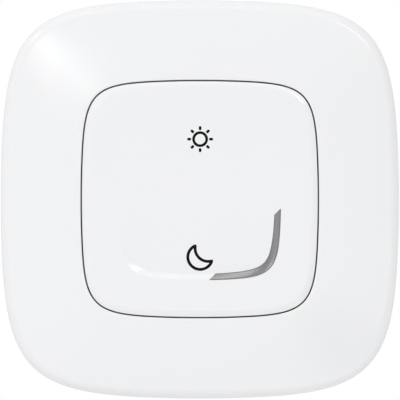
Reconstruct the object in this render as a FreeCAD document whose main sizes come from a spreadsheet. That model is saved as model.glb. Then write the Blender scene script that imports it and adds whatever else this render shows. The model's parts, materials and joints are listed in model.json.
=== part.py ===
import FreeCAD, Part
import Sketcher
import math
import os

os.makedirs("parts", exist_ok=True)
doc = FreeCAD.newDocument("wall_switch")

# The wall is the plane y = 0 and the switch faces -Y, so a depth is a distance in front of the wall.
values = {
    # bowed outlines: radii of the long side arcs and of the corner arcs
    "plateSideRadius": 202.85,
    "plateCornerRadius": 19.05,
    "openingSideRadius": 169.9,
    "openingCornerRadius": 9.24,
    "ringSideRadius": 85.0,
    "ringCornerRadius": 6.5,
    # across, from the cell in the middle out to the edge of the cover plate
    "cellRadius": 10.0,
    "cellClear": 0.4,
    "switchGap": 2.0,
    "switchSide": 5.2,
    "boardMargin": 4.4,
    "boardClear": 0.4,
    "rearWall": 1.8,
    "moduleMargin": 1.5,
    "plateBorder": 17.3,
    # depth, from the wall out to the face of the key
    "floorBack": 0.6,
    "floorThick": 1.0,
    "boardStand": 1.8,
    "boardThick": 0.8,
    "cellRest": 0.6,
    "cellThick": 3.2,
    "contactThick": 0.25,
    "contactAir": 0.15,
    "lidThick": 0.8,
    "hingeRise": 1.1,
    "carrierThick": 1.2,
    "keyTop": 1.95,
    # cover plate
    "plateBack": 0.6,
    "plateDraft": 0.25,
    "plateRise": 2.36,
    "rimRound": 2.5,
    "crownRise": 0.22,
    "lipDrop": 0.25,
    "lipLand": 0.45,
    "skirtWall": 1.7,
    "shoulderDrop": 2.24,
    "shoulderWall": 1.14,
    "shoulderInset": 3.4,
    "topWall": 1.85,
    "collarWall": 1.45,
    "collarDepth": 2.9,
    "braceThick": 1.2,
    "braceDepth": 2.4,
    "braceRoot": 0.3,
    "tongueClear": 0.25,
    "tongueThick": 1.2,
    "tongueWidth": 10.0,
    "tongueBack": 1.6,
    "barbReach": 0.9,
    "tongueRoot": 0.5,
    "seatReach": 2.4,
    "seatShift": 0.4,
    "seatOffset": 20.0,
    # mounting frame and its adhesive pads
    "frameInset": 5.0,
    "frameBase": 1.8,
    "frameRimTop": 4.2,
    "rimWall": 1.4,
    "ledge": 0.8,
    "windowClear": 0.2,
    "padMargin": 2.7,
    "padShift": 0.2,
    "padClear": 0.2,
    "padHeight": 14.0,
    "padCentreZ": 16.5,
    "padThick": 0.8,
    "slotCentre": 30.0,
    "slotLength": 7.0,
    "slotRadius": 2.1,
    "clipClear": 0.1,
    "clipWindowTop": 3.4,
    "clipWindowHeight": 1.0,
    "clipWindowAir": 0.5,
    "clipWindowOver": 0.4,
    "ribAir": 0.65,
    "ribThick": 1.2,
    "ribHeight": 1.2,
    "ribCorner": 4.0,
    "latchClear": 0.15,
    "latchThick": 1.4,
    "latchWidth": 9.0,
    "hookReach": 0.55,
    "hookClear": 0.05,
    "hookThick": 0.5,
    # switch module housing and its screws
    "moduleCorner": 3.0,
    "lidWall": 1.4,
    "seamRise": 0.4,
    "screwInset": 3.0,
    "bossRadius": 2.2,
    "postRadius": 1.9,
    "screwShank": 0.85,
    "screwHoleClear": 0.25,
    "screwPilotClear": 0.05,
    "screwHead": 1.7,
    "screwHeadClear": 0.2,
    "screwHeadRound": 0.25,
    "driverWidth": 0.5,
    "driverLength": 2.2,
    "driverDepth": 0.45,
    "screwSunk": 0.15,
    "counterDepth": 0.9,
    "screwEnd": 0.4,
    "pilotEnd": 0.2,
    "pinInset": 3.5,
    "pinCentreZ": 5.5,
    "pinPost": 1.7,
    "pinRadius": 0.8,
    "pinClear": 0.1,
    "pinProud": 0.5,
    "cellRestOffset": 7.6,
    "cellRestRadius": 0.8,
    # circuit board and what it carries
    "notchClear": 0.2,
    "notchOver": 1.0,
    "cellCapInset": 1.1,
    "cellCapThick": 0.4,
    "cellRound": 0.35,
    "contactGap": 0.8,
    "contactWidth": 4.0,
    "contactFoot": 3.4,
    "contactArm": 3.8,
    "contactLeaf": 15.2,
    "switchThick": 1.8,
    "switchOpeningClear": 0.5,
    "domeRadius": 1.6,
    "domeRise": 0.9,
    "domeRound": 0.45,
    "lampInset": 3.25,
    "lampSide": 1.6,
    "lampHeight": 0.9,
    "lampOpening": 1.6,
    "canInsetX": 7.2,
    "canInsetZ": 9.2,
    "canWidth": 8.0,
    "canHeight": 7.0,
    "canClear": 0.3,
    "antennaInsetX": 8.8,
    "antennaInsetZ": 2.4,
    "antennaWidth": 6.0,
    "antennaHeight": 1.6,
    "antennaThick": 0.8,
    "chipInsetX": 7.8,
    "chipInsetZ": 10.0,
    "chipSide": 5.0,
    "chipThick": 0.9,
    "crystalInsetX": 8.4,
    "crystalInsetZ": 4.8,
    "crystalWidth": 3.2,
    "crystalHeight": 1.5,
    "crystalThick": 0.8,
    "capacitorInsetX": 12.8,
    "capacitorInsetZ": 7.4,
    "capacitorPitch": 2.0,
    "capacitorWidth": 1.2,
    "capacitorHeight": 0.7,
    "capacitorThick": 0.6,
    # key, its carrier and its light bar
    "keyGap": 0.3,
    "keySkirt": 1.3,
    "keySkirtLength": 0.8,
    "keyBevel": 1.2,
    "keyBevelDrop": 0.35,
    "dishMargin": 8.1,
    "dishRamp": 1.5,
    "dishDepth": 0.55,
    "dishRadius": 250.0,
    "dishRise": 0.012,
    "barStart": 1.75,
    "barWall": 0.6,
    "barClear": 0.03,
    "tailSide": 1.4,
    "tailClear": 0.15,
    "tailAir": 0.4,
    "tabX": 13.0,
    "tabInset": 4.2,
    "tabWidth": 3.0,
    "tabThick": 1.2,
    "tabReach": 0.5,
    "tabBarbReach": 0.35,
    "tabBarbHeight": 0.42,
    "tabClear": 0.1,
    "carrierClear": 0.95,
    "carrierWindow": 8.0,
    "earInset": 2.1,
    "earThick": 1.8,
    "earHeight": 4.4,
    "earClear": 0.3,
    "earAir": 0.4,
    "hingePin": 0.88,
    "hingeClear": 0.07,
    "hingeEntry": 1.5,
    "pinRoot": 1.2,
    "pinShort": 0.1,
    "lugThick": 1.5,
    "lugHeight": 2.8,
    "lugDrop": 0.85,
    "noseRadius": 1.3,
    "noseGap": 0.06,
}

# What follows from the values: the chain across, the chain of depths, and what is set off from them.
derived = {
    "switchOffset": "cellRadius + cellClear + switchGap + switchSide / 2",
    "boardSide": "2 * (switchOffset + switchSide / 2 + boardMargin)",
    "rearCavitySide": "boardSide + 2 * boardClear",
    "moduleSide": "rearCavitySide + 2 * rearWall",
    "openingSide": "moduleSide + 2 * moduleMargin",
    "plateSide": "openingSide + 2 * plateBorder",
    "ringSide": "openingSide - 2 * dishMargin",
    "floorFront": "floorBack + floorThick",
    "boardBack": "floorFront + boardStand",
    "boardFront": "boardBack + boardThick",
    "cellBack": "floorFront + cellRest",
    "cellFront": "cellBack + cellThick",
    "lidBack": "cellFront + contactThick + contactAir",
    "lidFront": "lidBack + lidThick",
    "hingeDepth": "lidFront + hingeRise",
    "keyInside": "hingeDepth + carrierThick",
    "keyFace": "keyInside + keyTop",
    "lipTop": "keyFace - lipDrop",
    "rimTop": "lipTop - plateRise",
    "crownTop": "(rimTop + lipTop) / 2 + crownRise",
    "crownSide": "(plateSide + openingSide) / 2 + lipLand",
    "crownSideRadius": "(plateSideRadius + openingSideRadius + lipLand) / 2",
    "crownCornerRadius": "(plateCornerRadius + openingCornerRadius + lipLand) / 2",
    "shoulder": "rimTop - shoulderWall",
    "skirtTop": "rimTop - shoulderDrop",
    "cavityTop": "lipTop - topWall",
    "collarBack": "lipTop - collarDepth",
    "frameHalf": "plateSide / 2 - frameInset",
    "tongueCentre": "frameHalf + tongueClear + tongueThick / 2",
    "tongueTop": "shoulder + tongueRoot",
    "barbThick": "barbReach + tongueThick / 2",
    "barbCentre": "frameHalf + tongueClear - barbReach + barbThick / 2",
    "barbBack": "clipWindowTop - clipWindowHeight + clipClear",
    "barbHeight": "clipWindowHeight - 2 * clipClear",
    "seatCentre": "frameHalf - rimWall / 2 - seatShift",
    "braceOuter": "seatCentre + seatReach / 2",
    "braceInner": "openingSide / 2 + collarWall - braceRoot",
    "braceLength": "braceOuter - braceInner",
    "braceCentre": "braceInner + braceLength / 2",
    "braceBack": "cavityTop - braceDepth",
    "rimInset": "frameInset + rimWall",
    "floorSide": "moduleSide - 2 * ledge",
    "floorCorner": "moduleCorner - ledge",
    "windowSide": "floorSide + 2 * windowClear",
    "windowCorner": "floorCorner + windowClear",
    "padWidth": "frameHalf - windowSide / 2 - 2 * padMargin",
    "padCentreX": "(frameHalf + windowSide / 2) / 2 + padShift",
    "recessWidth": "padWidth + 2 * padClear",
    "recessHeight": "padHeight + 2 * padClear",
    "clipWindowCentre": "frameHalf - rimWall / 2",
    "clipWindowReach": "rimWall + 2 * clipWindowOver",
    "clipWindowWidth": "tongueWidth + 2 * clipWindowAir",
    "latchCentre": "moduleSide / 2 + latchClear + latchThick / 2",
    "latchTop": "lidFront + hookClear + hookThick",
    "hookBack": "lidFront + hookClear",
    "hookWidth": "hookReach + latchThick / 2",
    "hookCentre": "moduleSide / 2 + latchClear - hookReach + hookWidth / 2",
    "ribInnerSide": "2 * (latchCentre + latchThick / 2 + ribAir)",
    "ribOuterSide": "ribInnerSide + 2 * ribThick",
    "cavityCorner": "moduleCorner - rearWall",
    "seam": "boardFront + seamRise",
    "lidCavitySide": "moduleSide - 2 * lidWall",
    "lidCavityCorner": "moduleCorner - lidWall",
    "screwCentre": "rearCavitySide / 2 - screwInset",
    "screwHole": "screwShank + screwHoleClear",
    "screwPilot": "screwShank + screwPilotClear",
    "screwHeadBack": "floorBack + screwSunk",
    "counterBore": "screwHead + screwHeadClear",
    "counterFront": "floorBack + counterDepth",
    "driverFront": "screwHeadBack + driverDepth",
    "screwTip": "lidBack - screwEnd",
    "pilotTop": "lidBack - pilotEnd",
    "pinCentreX": "boardSide / 2 - pinInset",
    "pinTop": "boardFront + pinProud",
    "pinHole": "pinRadius + pinClear",
    "boardHole": "cellRadius + cellClear",
    "notchInner": "screwCentre - bossRadius - notchClear",
    "notchSide": "boardSide / 2 + notchOver - notchInner",
    "notchCentre": "notchInner + notchSide / 2",
    "cellCapRadius": "cellRadius - cellCapInset",
    "cellShoulder": "cellBack + cellCapThick",
    "contactBend": "boardHole + contactGap",
    "contactFootEnd": "contactBend + contactFoot",
    "contactArmEnd": "contactBend - contactArm",
    "leafEnd": "contactLeaf - contactBend",
    "switchOpening": "switchSide + 2 * switchOpeningClear",
    "switchTop": "boardFront + switchThick",
    "domeTop": "switchTop + domeRise",
    "lampCentre": "ringSide / 2 - lampInset",
    "canX": "boardSide / 2 - canInsetX",
    "canZ": "boardSide / 2 - canInsetZ",
    "canThick": "lidBack - boardFront - canClear",
    "antennaX": "boardSide / 2 - antennaInsetX",
    "antennaZ": "boardSide / 2 - antennaInsetZ",
    "chipX": "boardSide / 2 - chipInsetX",
    "chipZ": "boardSide / 2 - chipInsetZ",
    "crystalX": "boardSide / 2 - crystalInsetX",
    "crystalZ": "boardSide / 2 - crystalInsetZ",
    "capacitorColumn": "boardSide / 2 - capacitorInsetX",
    "capacitorRow": "boardSide / 2 - capacitorInsetZ",
    "keyBack": "keyInside - keySkirtLength",
    "keyEdge": "keyFace - keyBevelDrop",
    "keyFaceInset": "keyGap + keyBevel",
    "keyHollowInset": "keyGap + keySkirt",
    "grooveInset": "dishRamp + barClear",
    "barFloor": "keyInside + barWall",
    "barDiagonal": "ringSide / 2 + barStart",
    "tailHole": "tailSide + 2 * tailClear",
    "tailBack": "lidFront + tailAir",
    "carrierInset": "keyHollowInset + carrierClear",
    "carrierSide": "openingSide - 2 * carrierInset",
    "tabZ": "carrierSide / 2 - tabInset",
    "tabBack": "hingeDepth - tabReach",
    "tabBarbThick": "tabThick / 2 + tabBarbReach",
    "tabBarbZ": "tabZ + tabBarbThick / 2",
    "tabSlotZ": "tabZ - tabClear / 2",
    "tabSlotWidth": "tabWidth + 4 * tabClear",
    "tabSlotHeight": "tabThick + 3 * tabClear",
    "earCentre": "carrierSide / 2 - earInset",
    "earTop": "keyInside - earAir",
    "earNotchWidth": "earThick + 2 * earClear",
    "earNotchHeight": "earHeight + 2 * earClear",
    "hingeBore": "hingePin + hingeClear",
    "pinStart": "earCentre - earThick / 2 - pinRoot",
    "pinEnd": "earCentre + earThick / 2 - pinShort",
    "lugCentre": "earCentre - earThick / 2 - earClear - lugThick / 2",
    "lugBack": "hingeDepth - lugDrop",
    "noseBack": "domeTop + noseGap",
}

sheet = doc.addObject("Spreadsheet::Sheet", "Sizes")
for row, (alias, number) in enumerate(values.items(), 1):
    sheet.set("A%d" % row, alias)
    sheet.set("B%d" % row, str(number))
    sheet.setAlias("B%d" % row, alias)
for row, (alias, rule) in enumerate(derived.items(), 1):
    sheet.set("C%d" % row, alias)
    sheet.set("D%d" % row, "=" + rule)
    sheet.setAlias("D%d" % row, alias)
doc.recompute()


# A size is written as text such as "plateSide/2 - skirtWall", of aliases and plain numbers.
def formula(text):
    words = text.split()
    return " ".join("Sizes." + word if word[0].isalpha() else word for word in words)


def amount(text):
    total = 0.0
    sign = 1.0
    for word in text.split():
        if word in "+-":
            sign = 1.0 if word == "+" else -1.0
            continue
        name, _, divisor = word.partition("/")
        number = sheet.get(name) if name[0].isalpha() else float(name)
        total += sign * number / float(divisor or 1)
        sign = 1.0
    return total


def negative(text):
    return "0 - " + text


def origin_plane(body, role):
    for feature in body.Origin.OriginFeatures:
        if feature.Role == role:
            return feature


def new_body(label):
    body = doc.addObject("PartDesign::Body", label)
    body.Label = label
    return body


def sketch_on(body, name, offset, role="XZ_Plane"):
    sketch = body.newObject("Sketcher::SketchObject", body.Label + "_" + name)
    sketch.AttachmentSupport = [(origin_plane(body, role), "")]
    sketch.MapMode = "FlatFace"
    sketch.setExpression("AttachmentOffset.Base.z", formula(offset))
    return sketch


def bind(sketch, kind, *arguments):
    text = arguments[-1]
    index = sketch.addConstraint(Sketcher.Constraint(kind, *arguments[:-1], amount(text)))
    sketch.setExpression("Constraints[%d]" % index, formula(text))


def place_point(sketch, curve, vertex, across, up):
    for kind, axis, text in (("DistanceX", -2, across), ("DistanceY", -1, up)):
        if text == "0":
            sketch.addConstraint(Sketcher.Constraint("PointOnObject", curve, vertex, axis))
        else:
            bind(sketch, kind, -1, 1, curve, vertex, text)


def circle(sketch, across, up, radius):
    centre = FreeCAD.Vector(amount(across), amount(up), 0)
    shape = Part.Circle(centre, FreeCAD.Vector(0, 0, 1), amount(radius))
    index = sketch.addGeometry(shape)
    place_point(sketch, index, 3, across, up)
    bind(sketch, "Radius", index, radius)


def polygon(sketch, corners):
    points = [FreeCAD.Vector(amount(x), amount(y), 0) for x, y in corners]
    first = sketch.GeometryCount
    count = len(points)
    for i in range(count):
        sketch.addGeometry(Part.LineSegment(points[i], points[(i + 1) % count]))
    for i in range(count):
        following = first + (i + 1) % count
        sketch.addConstraint(Sketcher.Constraint("Coincident", first + i, 2, following, 1))
    for i, (across, up) in enumerate(corners):
        place_point(sketch, first + i, 1, across, up)


def rectangle(sketch, across, up, width, height):
    left = "%s - %s/2" % (across, width)
    right = "%s + %s/2" % (across, width)
    low = "%s - %s/2" % (up, height)
    high = "%s + %s/2" % (up, height)
    first = sketch.GeometryCount
    x0, x1, y0, y1 = amount(left), amount(right), amount(low), amount(high)
    spots = [(x0, y0), (x1, y0), (x1, y1), (x0, y1)]
    for i in range(4):
        start = FreeCAD.Vector(*spots[i], 0)
        finish = FreeCAD.Vector(*spots[(i + 1) % 4], 0)
        sketch.addGeometry(Part.LineSegment(start, finish))
    for i in range(4):
        following = first + (i + 1) % 4
        sketch.addConstraint(Sketcher.Constraint("Coincident", first + i, 2, following, 1))
        kind = "Vertical" if i % 2 else "Horizontal"
        sketch.addConstraint(Sketcher.Constraint(kind, first + i))
    bind(sketch, "DistanceX", first, 1, first, 2, width)
    bind(sketch, "DistanceY", first + 1, 1, first + 1, 2, height)
    place_point(sketch, first, 1, left, low)


# Four lines and four arcs about the origin.
def rounded_rectangle(sketch, width, height, radius):
    half_x, half_y, corner = amount(width + "/2"), amount(height + "/2"), amount(radius)
    first = sketch.GeometryCount
    spans = [half_y - corner, half_x - corner]
    reach = [half_x, half_y]
    for i in range(4):
        angle = i * math.pi / 2
        out = FreeCAD.Vector(math.cos(angle), math.sin(angle), 0)
        along = FreeCAD.Vector(-math.sin(angle), math.cos(angle), 0)
        start = out * reach[i % 2] - along * spans[i % 2]
        finish = out * reach[i % 2] + along * spans[i % 2]
        sketch.addGeometry(Part.LineSegment(start, finish))
        centre = out * (reach[i % 2] - corner) + along * spans[i % 2]
        ring = Part.Circle(centre, FreeCAD.Vector(0, 0, 1), corner)
        sketch.addGeometry(Part.ArcOfCircle(ring, angle, angle + math.pi / 2))
    for i in range(8):
        following = first + (i + 1) % 8
        sketch.addConstraint(Sketcher.Constraint("Tangent", first + i, 2, following, 1))
    for i in (3, 5, 7):
        sketch.addConstraint(Sketcher.Constraint("Equal", first + 1, first + i))
    for i in (0, 4):
        sketch.addConstraint(Sketcher.Constraint("Vertical", first + i))
    for i in (2, 6):
        sketch.addConstraint(Sketcher.Constraint("Horizontal", first + i))
    bind(sketch, "Radius", first + 1, radius)
    bind(sketch, "DistanceX", -1, 1, first, 1, width + "/2")
    bind(sketch, "DistanceX", first + 4, 1, -1, 1, width + "/2")
    bind(sketch, "DistanceY", -1, 1, first + 2, 1, height + "/2")
    bind(sketch, "DistanceY", first + 6, 1, -1, 1, height + "/2")


# A square with bowed sides: four long arcs centred on the axes, joined by four corner arcs.
# An inset makes the parallel outline inside the named one, and "0 - size" the one outside it.
def bowed_square(sketch, family, inset="0"):
    side = "%sSideRadius - %s" % (family, inset)
    corner = "%sCornerRadius - %s" % (family, inset)
    shift = "%sSideRadius - %sSide/2" % (family, family)
    if inset.startswith("0 - "):
        side = "%sSideRadius + %s" % (family, inset[4:])
        corner = "%sCornerRadius + %s" % (family, inset[4:])
    long_radius, short_radius, offset = amount(side), amount(corner), amount(shift)
    middle = (-offset + math.sqrt(2 * (long_radius - short_radius) ** 2 - offset**2)) / 2
    turn = math.atan2(middle, middle + offset)
    first = sketch.GeometryCount
    for i in range(4):
        angle = i * math.pi / 2
        out = FreeCAD.Vector(math.cos(angle), math.sin(angle), 0)
        along = FreeCAD.Vector(-math.sin(angle), math.cos(angle), 0)
        ring = Part.Circle(out * -offset, FreeCAD.Vector(0, 0, 1), long_radius)
        sketch.addGeometry(Part.ArcOfCircle(ring, angle - turn, angle + turn))
        ring = Part.Circle((out + along) * middle, FreeCAD.Vector(0, 0, 1), short_radius)
        sketch.addGeometry(Part.ArcOfCircle(ring, angle + turn, angle + math.pi / 2 - turn))
    for i in range(8):
        following = first + (i + 1) % 8
        sketch.addConstraint(Sketcher.Constraint("Tangent", first + i, 2, following, 1))
    for i in (2, 4, 6):
        sketch.addConstraint(Sketcher.Constraint("Equal", first, first + i))
        sketch.addConstraint(Sketcher.Constraint("Equal", first + 1, first + i + 1))
    bind(sketch, "Radius", first, side)
    bind(sketch, "Radius", first + 1, corner)
    for i in range(4):
        axis = -1 if i % 2 == 0 else -2
        kind = "DistanceX" if i % 2 == 0 else "DistanceY"
        curve = first + 2 * i
        sketch.addConstraint(Sketcher.Constraint("PointOnObject", curve, 3, axis))
        if i < 2:
            bind(sketch, kind, curve, 3, -1, 1, shift)
        else:
            bind(sketch, kind, -1, 1, curve, 3, shift)


def pad(body, sketch, length):
    feature = body.newObject("PartDesign::Pad", sketch.Name + "_pad")
    feature.Profile = sketch
    feature.setExpression("Length", formula(length))
    sketch.Visibility = False
    doc.recompute()
    return feature


# A pocket cuts from its sketch towards the wall.
def pocket(body, sketch, length):
    before = body.Shape.Volume
    feature = body.newObject("PartDesign::Pocket", sketch.Name + "_pocket")
    feature.Profile = sketch
    feature.setExpression("Length", formula(length))
    sketch.Visibility = False
    doc.recompute()
    if body.Shape.Volume >= before:
        raise RuntimeError("%s cuts nothing: %s" % (sketch.Name, feature.getStatusString()))
    return feature


def loft(body, sections, kind, ruled=True):
    feature = body.newObject("PartDesign::" + kind, sections[0].Name + "_loft")
    feature.Profile = sections[0]
    feature.Sections = sections[1:]
    feature.Ruled = ruled
    doc.recompute()
    return feature


def box(label, across, up, back, width, height, thick):
    part = doc.addObject("Part::Box", label)
    part.Label = label
    part.setExpression("Length", formula(width))
    part.setExpression("Width", formula(thick))
    part.setExpression("Height", formula(height))
    part.setExpression("Placement.Base.x", formula("%s - %s/2" % (across, width)))
    part.setExpression("Placement.Base.y", formula("0 - %s - %s" % (back, thick)))
    part.setExpression("Placement.Base.z", formula("%s - %s/2" % (up, height)))
    return part


def both(text):
    return (text, negative(text))


def four_sides(sketch, centre, reach, width):
    for spot in both(centre):
        rectangle(sketch, spot, "0", reach, width)
        rectangle(sketch, "0", spot, width, reach)


# Rounds the edges that lie at one depth, or of them only those that are full circles of one radius.
def round_edges(body, depth, rounding, radius=None):
    names = []
    for i, edge in enumerate(body.Shape.Edges, 1):
        level = abs(edge.BoundBox.YMin + amount(depth)) + abs(edge.BoundBox.YMax + amount(depth))
        fits = radius is None or abs(edge.Length - 2 * math.pi * amount(radius)) < 0.001
        if level < 0.001 and fits:
            names.append("Edge%d" % i)
    sharp = body.Tip
    feature = body.newObject("PartDesign::Fillet", body.Label + "_round_" + depth)
    feature.Base = (sharp, names)
    feature.setExpression("Radius", formula(rounding))
    doc.recompute()
    if not feature.isValid():
        raise RuntimeError("%s fails on %s: %s" % (feature.Name, names, feature.getStatusString()))


# A loft through bowed squares, each given by its depth, its family and its inset.
def loft_squares(body, name, steps, kind, ruled=True):
    sections = []
    for depth, family, inset in steps:
        section = sketch_on(body, name + "_" + depth, depth)
        bowed_square(section, family, inset)
        sections.append(section)
    loft(body, sections, kind, ruled)


# Cover plate: a hollow shell whose side rolls over into a bowed slope up to the opening for the key.
# Braces run under the slope from the collar outwards and end in seats that rest on the frame.
cover = new_body("cover_plate")
loft_squares(cover, "side", [
    ("plateBack", "plate", "plateDraft"),
    ("rimTop", "plate", "0"),
], "AdditiveLoft")
loft_squares(cover, "slope", [
    ("rimTop", "plate", "0"),
    ("crownTop", "crown", "0"),
    ("lipTop", "opening", negative("lipLand")),
], "AdditiveLoft", ruled=False)
round_edges(cover, "rimTop", "rimRound")
loft_squares(cover, "inside", [
    ("plateBack", "plate", "skirtWall"),
    ("skirtTop", "plate", "skirtWall"),
    ("shoulder", "plate", "shoulderInset"),
    ("cavityTop", "opening", negative("collarWall")),
], "SubtractiveLoft")
collar = sketch_on(cover, "collar", "collarBack")
bowed_square(collar, "opening", negative("collarWall"))
pad(cover, collar, "cavityTop - collarBack + 0.2")
opening = sketch_on(cover, "opening", "lipTop")
bowed_square(opening, "opening")
pocket(cover, opening, "lipTop - plateBack")
tongues = sketch_on(cover, "tongues", "tongueBack")
four_sides(tongues, "tongueCentre", "tongueThick", "tongueWidth")
pad(cover, tongues, "tongueTop - tongueBack")
barbs = sketch_on(cover, "barbs", "barbBack")
four_sides(barbs, "barbCentre", "barbThick", "tongueWidth")
pad(cover, barbs, "barbHeight")
for name, back, centre, length in (
    ("braces", "braceBack", "braceCentre", "braceLength"),
    ("seats", "frameRimTop", "seatCentre", "seatReach"),
):
    bars = sketch_on(cover, name, back)
    for spot in both(centre):
        for shift in both("seatOffset"):
            rectangle(bars, spot, shift, length, "braceThick")
            rectangle(bars, shift, spot, "braceThick", length)
    pad(cover, bars, "cavityTop - " + back)

# Mounting frame: flat against the wall, with screw slots, pad recesses, clip windows and latches.
frame = new_body("mounting_frame")
base = sketch_on(frame, "base", "0")
bowed_square(base, "plate", "frameInset")
pad(frame, base, "frameRimTop")
hollow = sketch_on(frame, "hollow", "frameRimTop")
bowed_square(hollow, "plate", "rimInset")
pocket(frame, hollow, "frameRimTop - frameBase")
rib = sketch_on(frame, "rib", "frameBase")
rounded_rectangle(rib, "ribOuterSide", "ribOuterSide", "ribCorner")
rounded_rectangle(rib, "ribInnerSide", "ribInnerSide", "ribCorner")
pad(frame, rib, "ribHeight")
latches = sketch_on(frame, "latches", "frameBase")
four_sides(latches, "latchCentre", "latchThick", "latchWidth")
pad(frame, latches, "latchTop - frameBase")
hooks = sketch_on(frame, "hooks", "hookBack")
four_sides(hooks, "hookCentre", "hookWidth", "latchWidth")
pad(frame, hooks, "hookThick")
window = sketch_on(frame, "window", "frameBase")
rounded_rectangle(window, "windowSide", "windowSide", "windowCorner")
pocket(frame, window, "frameBase")
recesses = sketch_on(frame, "recesses", "padThick")
for x in both("padCentreX"):
    for z in both("padCentreZ"):
        rectangle(recesses, x, z, "recessWidth", "recessHeight")
pocket(frame, recesses, "padThick")
windows = sketch_on(frame, "clip_windows", "clipWindowTop")
four_sides(windows, "clipWindowCentre", "clipWindowReach", "clipWindowWidth")
pocket(frame, windows, "clipWindowHeight")


# A slot along its own radius: two half circles and the two lines between them.
def radial_slot(sketch, side):
    angle = side * math.pi / 2
    out = FreeCAD.Vector(math.cos(angle), math.sin(angle), 0)
    along = FreeCAD.Vector(-math.sin(angle), math.cos(angle), 0)
    near, far, radius = amount(slot_near), amount(slot_far), amount("slotRadius")
    up = FreeCAD.Vector(0, 0, 1)
    first = sketch.GeometryCount
    ring = Part.Circle(out * far, up, radius)
    sketch.addGeometry(Part.ArcOfCircle(ring, angle - math.pi / 2, angle + math.pi / 2))
    sketch.addGeometry(Part.LineSegment(out * far + along * radius, out * near + along * radius))
    ring = Part.Circle(out * near, up, radius)
    sketch.addGeometry(Part.ArcOfCircle(ring, angle + math.pi / 2, angle + math.pi * 3 / 2))
    sketch.addGeometry(Part.LineSegment(out * near - along * radius, out * far - along * radius))
    for i in range(4):
        following = first + (i + 1) % 4
        sketch.addConstraint(Sketcher.Constraint("Tangent", first + i, 2, following, 1))
    sketch.addConstraint(Sketcher.Constraint("Equal", first, first + 2))
    bind(sketch, "Radius", first, "slotRadius")
    kind = "DistanceY" if side % 2 else "DistanceX"
    for index, text in ((first, slot_far), (first + 2, slot_near)):
        sketch.addConstraint(Sketcher.Constraint("PointOnObject", index, 3, -1 - side % 2))
        if side < 2:
            bind(sketch, kind, -1, 1, index, 3, text)
        else:
            bind(sketch, kind, index, 3, -1, 1, text)


slot_near = "slotCentre - slotLength/2 + slotRadius"
slot_far = "slotCentre + slotLength/2 - slotRadius"
slots = sketch_on(frame, "slots", "frameBase")
for side in range(4):
    radial_slot(slots, side)
pocket(frame, slots, "frameBase")

# Adhesive pads: foam strips pressed flush with the back of the frame.
pads = new_body("adhesive_pads")
pads.AllowCompound = True
strips = sketch_on(pads, "strips", "0")
for x in both("padCentreX"):
    for z in both("padCentreZ"):
        rectangle(strips, x, z, "padWidth", "padHeight")
pad(pads, strips, "padThick")


def corners_of(centre):
    return [(x, z) for x in both(centre) for z in both(centre)]


# Rear housing: a tray that drops into the window of the frame and rests on its front.
rear = new_body("rear_housing")
floor = sketch_on(rear, "floor", "floorBack")
rounded_rectangle(floor, "floorSide", "floorSide", "floorCorner")
pad(rear, floor, "frameBase - floorBack")
wall = sketch_on(rear, "wall", "frameBase")
rounded_rectangle(wall, "moduleSide", "moduleSide", "moduleCorner")
pad(rear, wall, "seam - frameBase")
cavity = sketch_on(rear, "cavity", "seam")
rounded_rectangle(cavity, "rearCavitySide", "rearCavitySide", "cavityCorner")
pocket(rear, cavity, "seam - floorFront")
supports = sketch_on(rear, "supports", "floorFront")
for x, z in corners_of("screwCentre"):
    circle(supports, x, z, "bossRadius")
for x in both("pinCentreX"):
    for z in both("pinCentreZ"):
        circle(supports, x, z, "pinPost")
pad(rear, supports, "boardBack - floorFront")
pins = sketch_on(rear, "pins", "boardBack")
for x in both("pinCentreX"):
    for z in both("pinCentreZ"):
        circle(pins, x, z, "pinRadius")
pad(rear, pins, "pinTop - boardBack")
rests = sketch_on(rear, "cell_rests", "floorFront")
for z in both("cellRestOffset"):
    circle(rests, "0", z, "cellRestRadius")
circle(rests, negative("cellRestOffset"), "0", "cellRestRadius")
pad(rear, rests, "cellBack - floorFront")
holes = sketch_on(rear, "screw_holes", "boardBack")
for x, z in corners_of("screwCentre"):
    circle(holes, x, z, "screwHole")
pocket(rear, holes, "boardBack - floorBack")
bores = sketch_on(rear, "counterbores", "counterFront")
for x, z in corners_of("screwCentre"):
    circle(bores, x, z, "counterBore")
pocket(rear, bores, "counterFront - floorBack")

# Front housing: the lid over the board, with openings for the cell, the switches and the lamp.
front = new_body("front_housing")
lid = sketch_on(front, "lid", "seam")
rounded_rectangle(lid, "moduleSide", "moduleSide", "moduleCorner")
pad(front, lid, "lidFront - seam")
cavity = sketch_on(front, "cavity", "lidBack")
rounded_rectangle(cavity, "lidCavitySide", "lidCavitySide", "lidCavityCorner")
pocket(front, cavity, "lidBack - seam")
posts = sketch_on(front, "posts", "boardBack")
for x, z in corners_of("screwCentre"):
    circle(posts, x, z, "postRadius")
pad(front, posts, "lidBack - boardBack + 0.2")
openings = sketch_on(front, "openings", "lidFront")
circle(openings, "0", "0", "boardHole")
for z in both("switchOffset"):
    rectangle(openings, "0", z, "switchOpening", "switchOpening")
circle(openings, "lampCentre", negative("lampCentre"), "lampOpening")
pocket(front, openings, "lidThick")
pilots = sketch_on(front, "screw_pilots", "pilotTop")
for x, z in corners_of("screwCentre"):
    circle(pilots, x, z, "screwPilot")
pocket(front, pilots, "pilotTop - boardBack")
ears = sketch_on(front, "ears", "lidFront")
for x in both("earCentre"):
    rectangle(ears, x, "0", "earThick", "earHeight")
pad(front, ears, "earTop - lidFront")
bearing = sketch_on(front, "bearings", "0", "YZ_Plane")
circle(bearing, negative("hingeDepth"), "0", "hingeBore")
bore = front.newObject("PartDesign::Pocket", "bearing_bore")
bore.Profile = bearing
bore.Type = "ThroughAll"
bore.Midplane = True
entry = sketch_on(front, "bearing_entry", "0", "YZ_Plane")
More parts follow.
